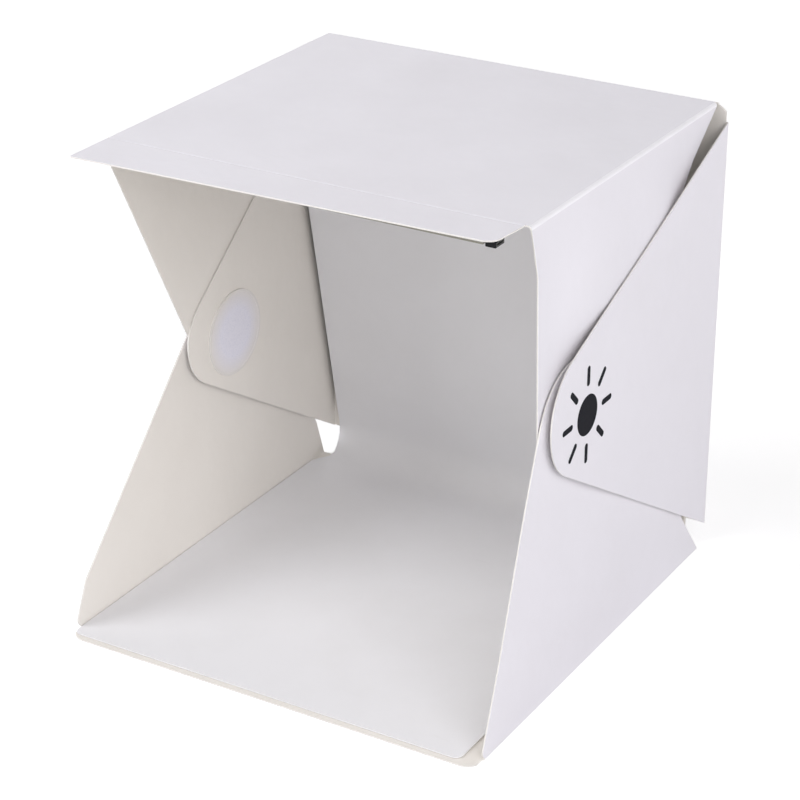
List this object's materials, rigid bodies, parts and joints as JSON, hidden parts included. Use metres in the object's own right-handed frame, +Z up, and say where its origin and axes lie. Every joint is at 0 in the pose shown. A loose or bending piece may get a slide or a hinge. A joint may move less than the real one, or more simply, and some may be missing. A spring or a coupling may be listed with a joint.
{
  "type": "light tent cube",
  "caption": "Folding light tent cube of creased white plastic sheet, with an open front, a curved backdrop, round-tipped side flaps and an LED strip under the roof's front lip.",
  "frame": {"origin": "on the floor, on the middle line of the base panel, half way along its side creases", "axes": "+Z up, the open front faces -Y, the power socket end is toward +X"},
  "size_m": [0.2282, 0.2355, 0.24],
  "materials": {
    "sheet": "white sheet with a soft satin face",
    "backdrop": "matte white",
    "dot": "white hook-and-loop",
    "board": "white circuit board",
    "tape": "grey adhesive tape",
    "led": "lamp package with a yellow face",
    "chip": "black chip",
    "socket_plastic": "black moulded plastic",
    "socket_steel": "plated steel"
  },
  "bodies": {
    "base": {"base_panel": "sheet", "backdrop_sheet": "backdrop"},
    "back": {"back_panel": "sheet"},
    "top": {"top_panel": "sheet"},
    "lip": {"front_lip": "sheet", "led_tape": "tape", "led_board": "board", "socket_housing": "socket_plastic", "socket_shell": "socket_steel", "socket_tongue": "socket_plastic", "led_01": "led", "led_02": "led", "led_03": "led", "led_04": "led", "led_05": "led", "led_06": "led", "led_07": "led", "led_08": "led", "led_09": "led", "led_10": "led", "led_11": "led", "led_12": "led", "led_13": "led", "led_14": "led", "led_15": "led", "led_16": "led", "led_17": "led", "led_18": "led", "led_19": "led", "led_20": "led", "resistor_01": "chip", "resistor_02": "chip", "resistor_03": "chip", "resistor_04": "chip"},
    "lower_left": {"lower_flap_left": "sheet", "dot_lower_outside_left": "dot", "dot_lower_inside_left": "dot"},
    "upper_left": {"upper_flap_left": "sheet", "dot_upper_left": "dot"},
    "rear_left": {"rear_flap_left": "sheet", "dot_rear_left": "dot"},
    "lower_right": {"lower_flap_right": "sheet", "dot_lower_outside_right": "dot", "dot_lower_inside_right": "dot"},
    "upper_right": {"upper_flap_right": "sheet", "dot_upper_right": "dot"},
    "rear_right": {"rear_flap_right": "sheet", "dot_rear_right": "dot"}
  },
  "joints": [
    {"name": "base_back", "type": "hinge", "parent": "base", "child": "back", "pos_m": [0, 0.11515, 0.00095], "axis": [-1, 0, 0], "range_deg": [0, 90]},
    {"name": "back_top", "type": "hinge", "parent": "back", "child": "top", "pos_m": [0, 0.11515, 0.23905], "axis": [-1, 0, 0], "range_deg": [0, 90]},
    {"name": "top_lip", "type": "hinge", "parent": "top", "child": "lip", "pos_m": [0, -0.07375, 0.23905], "axis": [1, 0, 0], "range_deg": [0, 90]},
    {"name": "rear_right", "type": "hinge", "parent": "back", "child": "rear_right", "pos_m": [0.11525, 0.11405, 0.12], "axis": [0, 0, 1], "range_deg": [0, 180]},
    {"name": "lower_right", "type": "hinge", "parent": "base", "child": "lower_right", "pos_m": [0.11235, 0, 0.00095], "axis": [0, 1, 0], "range_deg": [0, 90]},
    {"name": "upper_right", "type": "hinge", "parent": "top", "child": "upper_right", "pos_m": [0.10945, 0, 0.23905], "axis": [0, -1, 0], "range_deg": [0, 54]},
    {"name": "lower_left", "type": "hinge", "parent": "base", "child": "lower_left", "pos_m": [-0.11235, 0, 0.00095], "axis": [0, -1, 0], "range_deg": [0, 90]},
    {"name": "upper_left", "type": "hinge", "parent": "top", "child": "upper_left", "pos_m": [-0.10945, 0, 0.23905], "axis": [0, 1, 0], "range_deg": [0, 37.8]},
    {"name": "rear_left", "type": "hinge", "parent": "back", "child": "rear_left", "pos_m": [-0.10835, 0.11405, 0.12], "axis": [0, 0, -1], "range_deg": [0, 28.8]}
  ],
  "couplings": [
    {"joint": "lower_right", "follows": "rear_right", "ratio": 0.5},
    {"joint": "upper_right", "follows": "rear_right", "ratio": 0.3},
    {"joint": "upper_left", "follows": "lower_left", "ratio": 0.42},
    {"joint": "rear_left", "follows": "lower_left", "ratio": 0.32}
  ]
}
